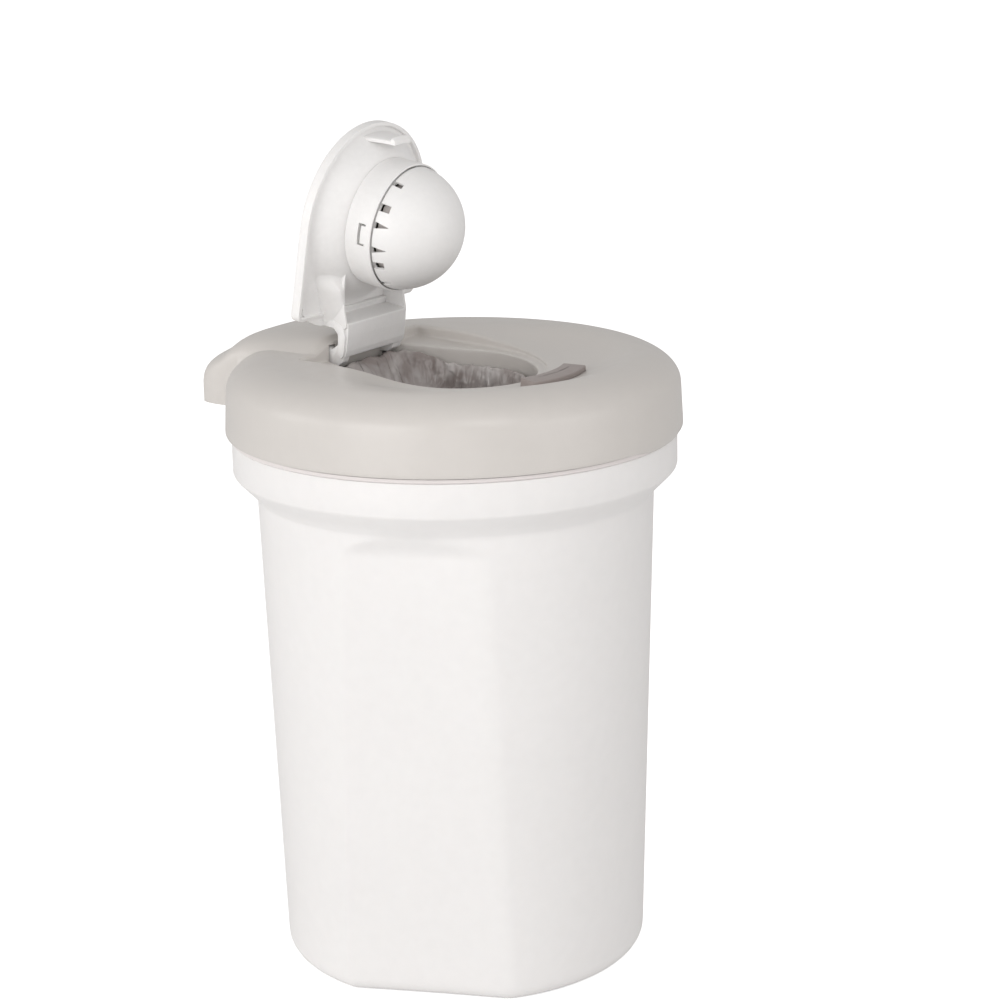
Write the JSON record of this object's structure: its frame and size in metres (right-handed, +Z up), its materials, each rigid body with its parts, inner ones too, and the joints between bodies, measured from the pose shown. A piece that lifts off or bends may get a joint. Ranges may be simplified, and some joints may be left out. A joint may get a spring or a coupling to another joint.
{
  "type": "nappy bin",
  "caption": "Round white nappy bin with flat side panels, a grey lift-off lid, a push button and an open gooseneck flap with a slotted scent dome.",
  "frame": {"origin": "on the pail's axis at the floor", "axes": "+Z up along the pail's axis, -Y towards the front with the button, +Y towards the hinge and rear handle, +X to the right seen from the front"},
  "size_m": [0.2996, 0.3253, 0.5553],
  "materials": {
    "pail_white": "fine satin moulding",
    "ring_white": "fine satin moulding",
    "bag_film": "thin crumpled film",
    "lid_grey": "satin moulding, warm light grey",
    "base_white": "satin moulding",
    "seal_rubber": "soft seal",
    "steel": "plated steel",
    "inner_grey": "satin moulding",
    "button_grey": "satin moulding, darker warm grey",
    "flap_white": "satin moulding",
    "dome_white": "satin moulding",
    "scent_gel": "pressed scented disc"
  },
  "bodies": {
    "pail": {"pail_body": "pail_white", "liner_bag": "bag_film"},
    "bag_ring": {"bag_ring": "ring_white"},
    "lid": {"lid_cover": "lid_grey", "lid_base": "base_white", "lid_seal": "seal_rubber", "lid_screws": "steel", "hinge_bracket": "inner_grey", "bracket_screws": "steel", "hinge_pin": "steel", "pin_clip": "steel", "hinge_spring": "steel", "latch_guide": "inner_grey", "guide_screws": "steel", "latch_spring": "steel", "button_springs": "steel"},
    "latch": {"latch_slider": "flap_white"},
    "button": {"button": "button_grey"},
    "flap": {"flap_cover": "flap_white", "flap_frame": "flap_white", "flap_screws": "steel", "dome_collar": "flap_white"},
    "dome": {"scent_dome": "dome_white", "scent_disc": "scent_gel"}
  },
  "joints": [
    {"name": "bag_ring_lift", "type": "slide", "parent": "pail", "child": "bag_ring", "axis": [0, 0, 1], "range_m": [0, 0.06]},
    {"name": "lid_lift", "type": "slide", "parent": "bag_ring", "child": "lid", "axis": [0, 0, 1], "range_m": [0, 0.15]},
    {"name": "flap_swing", "type": "hinge", "parent": "lid", "child": "flap", "pos_m": [0, 0.0884, 0.4096], "axis": [1, 0, 0], "range_deg": [0, 82.9], "stiffness_Nm_per_rad": 0.06, "springref_deg": -76.38, "deforming": ["hinge_spring"]},
    {"name": "button_press", "type": "slide", "parent": "lid", "child": "button", "axis": [0, 0.0501, -0.9987], "range_m": [0, 0.003], "stiffness_N_per_m": 600, "springref_m": -0.001, "deforming": ["button_springs"]},
    {"name": "latch_slide", "type": "slide", "parent": "lid", "child": "latch", "axis": [0, -0.9987, -0.0501], "range_m": [0, 0.003], "stiffness_N_per_m": 300, "springref_m": -0.001, "deforming": ["latch_spring"]},
    {"name": "dome_pull", "type": "slide", "parent": "flap", "child": "dome", "axis": [0, -0.9849, -0.1731], "range_m": [0, 0.06]}
  ],
  "couplings": [
    {"joint": "latch_slide", "follows": "button_press", "ratio": 1}
  ]
}
